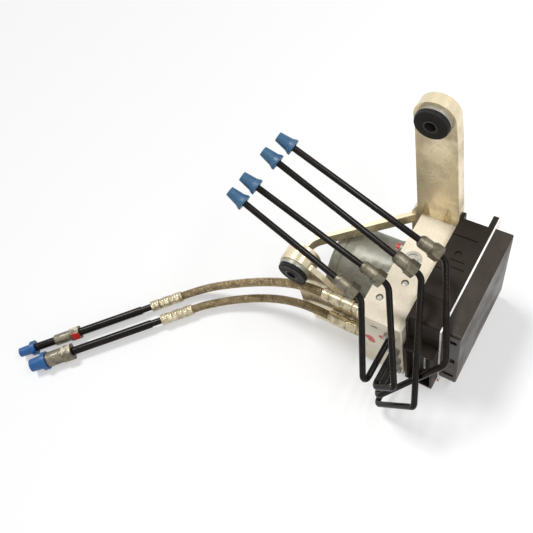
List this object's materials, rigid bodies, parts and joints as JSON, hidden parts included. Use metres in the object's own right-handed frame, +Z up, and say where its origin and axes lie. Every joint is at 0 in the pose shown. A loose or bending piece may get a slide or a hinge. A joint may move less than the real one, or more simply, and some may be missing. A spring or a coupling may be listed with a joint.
{
  "type": "abs brake module",
  "caption": "Car anti-lock brake unit on its pressed mounting bracket: valve block, pump motor, control unit, capped brake pipes and braided hoses.",
  "frame": {"origin": "middle of the steel sleeve in the upper bush", "axes": "+Z up, square to the bracket's floor; +X from the pump motor to the control unit; +Y from the pipe side to the back, along the bush's bore"},
  "size_m": [0.3876, 0.2892, 0.2135],
  "materials": {
    "block_aluminium": "machined, clear anodised",
    "motor_steel": "drawn steel, zinc plated",
    "zinc_steel": "zinc plated, dull",
    "yellow_zinc": "zinc plated, yellowish",
    "inner_steel": "ground",
    "copper": "enamelled wire and bars",
    "magnet": "sintered",
    "carbon": "pressed carbon",
    "black_plastic": "moulded, satin",
    "plate_aluminium": "sawn edge",
    "board": "circuit board",
    "chip_black": "moulded",
    "pin_tin": "tinned",
    "seal_rubber": "moulded",
    "bracket_aluminium": "pressed, dull",
    "bush_rubber": "moulded",
    "pipe_black": "coated, glossy",
    "braid": "woven over the hose",
    "cap_blue": "moulded",
    "cap_bright_blue": "moulded"
  },
  "bodies": {
    "unit": {"valve_block": "block_aluminium", "accumulator_covers": "block_aluminium", "motor_can": "motor_steel", "motor_screws": "zinc_steel", "motor_end_plate": "zinc_steel", "pump_plugs": "zinc_steel", "ball_plugs": "zinc_steel", "ecu_screws": "zinc_steel", "bracket_bolts": "zinc_steel", "bush_washers": "zinc_steel", "bush_sleeves": "zinc_steel", "port_nuts": "zinc_steel", "hose_unions": "yellow_zinc", "upper_end_ferrule": "yellow_zinc", "lower_end_ferrule": "yellow_zinc", "motor_bearings": "inner_steel", "pump_pistons": "inner_steel", "pump_springs": "inner_steel", "upper_accumulator_spring": "inner_steel", "lower_accumulator_spring": "inner_steel", "inlet_valves": "inner_steel", "outlet_valves": "inner_steel", "valve_coils": "copper", "motor_magnets": "magnet", "motor_brushes": "carbon", "ecu_housing": "black_plastic", "ecu_cover": "black_plastic", "brush_holder": "black_plastic", "ecu_plate": "plate_aluminium", "circuit_board": "board", "board_chips": "chip_black", "connector_pins": "pin_tin", "ecu_seal": "seal_rubber", "bracket": "bracket_aluminium", "upper_bush": "bush_rubber", "lower_bush": "bush_rubber", "brake_pipe_1": "pipe_black", "brake_pipe_2": "pipe_black", "brake_pipe_3": "pipe_black", "brake_pipe_4": "pipe_black", "upper_end_pipe": "pipe_black", "lower_end_pipe": "pipe_black", "upper_hose": "braid", "lower_hose": "braid", "pipe_caps": "cap_blue", "upper_end_cap": "cap_bright_blue", "lower_end_cap": "cap_bright_blue"},
    "rotor": {"motor_shaft": "inner_steel", "eccentric_bearing": "inner_steel", "armature": "inner_steel", "armature_windings": "copper", "commutator": "copper"},
    "upper_end_nut_body": {"upper_end_nut": "zinc_steel"},
    "lower_end_nut_body": {"lower_end_nut": "zinc_steel"},
    "tube_nut_1_body": {"tube_nut_1": "zinc_steel"},
    "tube_nut_2_body": {"tube_nut_2": "zinc_steel"},
    "tube_nut_3_body": {"tube_nut_3": "zinc_steel"},
    "tube_nut_4_body": {"tube_nut_4": "zinc_steel"},
    "upper_accumulator": {"upper_accumulator_piston": "inner_steel"},
    "lower_accumulator": {"lower_accumulator_piston": "inner_steel"}
  },
  "joints": [
    {"name": "rotor_spin", "type": "hinge", "parent": "unit", "child": "rotor", "pos_m": [0, -0.0537, -0.1535], "axis": [1, 0, 0], "continuous": true},
    {"name": "tube_nut_1_slide", "type": "slide", "parent": "unit", "child": "tube_nut_1_body", "axis": [-0.8817, 0.0952, 0.4622], "range_m": [0, 0.0832]},
    {"name": "tube_nut_2_slide", "type": "slide", "parent": "unit", "child": "tube_nut_2_body", "axis": [-0.889, 0.0541, 0.4548], "range_m": [0, 0.0923]},
    {"name": "tube_nut_3_slide", "type": "slide", "parent": "unit", "child": "tube_nut_3_body", "axis": [-0.8902, 0.0892, 0.4468], "range_m": [0, 0.1057]},
    {"name": "tube_nut_4_slide", "type": "slide", "parent": "unit", "child": "tube_nut_4_body", "axis": [-0.8886, 0.0427, 0.4566], "range_m": [0, 0.111]},
    {"name": "upper_end_nut_slide", "type": "slide", "parent": "unit", "child": "upper_end_nut_body", "axis": [-0.673, -0.7396, 0], "range_m": [-0.0762, 0.0206]},
    {"name": "lower_end_nut_slide", "type": "slide", "parent": "unit", "child": "lower_end_nut_body", "axis": [-0.673, -0.7396, 0], "range_m": [-0.093, 0.0002]},
    {"name": "upper_accumulator_slide", "type": "slide", "parent": "unit", "child": "upper_accumulator", "axis": [0, 1, 0], "range_m": [0, 0.01], "stiffness_N_per_m": 1500, "springref_m": -0.006, "deforming": ["upper_accumulator_spring"]},
    {"name": "lower_accumulator_slide", "type": "slide", "parent": "unit", "child": "lower_accumulator", "axis": [0, 1, 0], "range_m": [0, 0.01], "stiffness_N_per_m": 1500, "springref_m": -0.006, "deforming": ["lower_accumulator_spring"]}
  ]
}
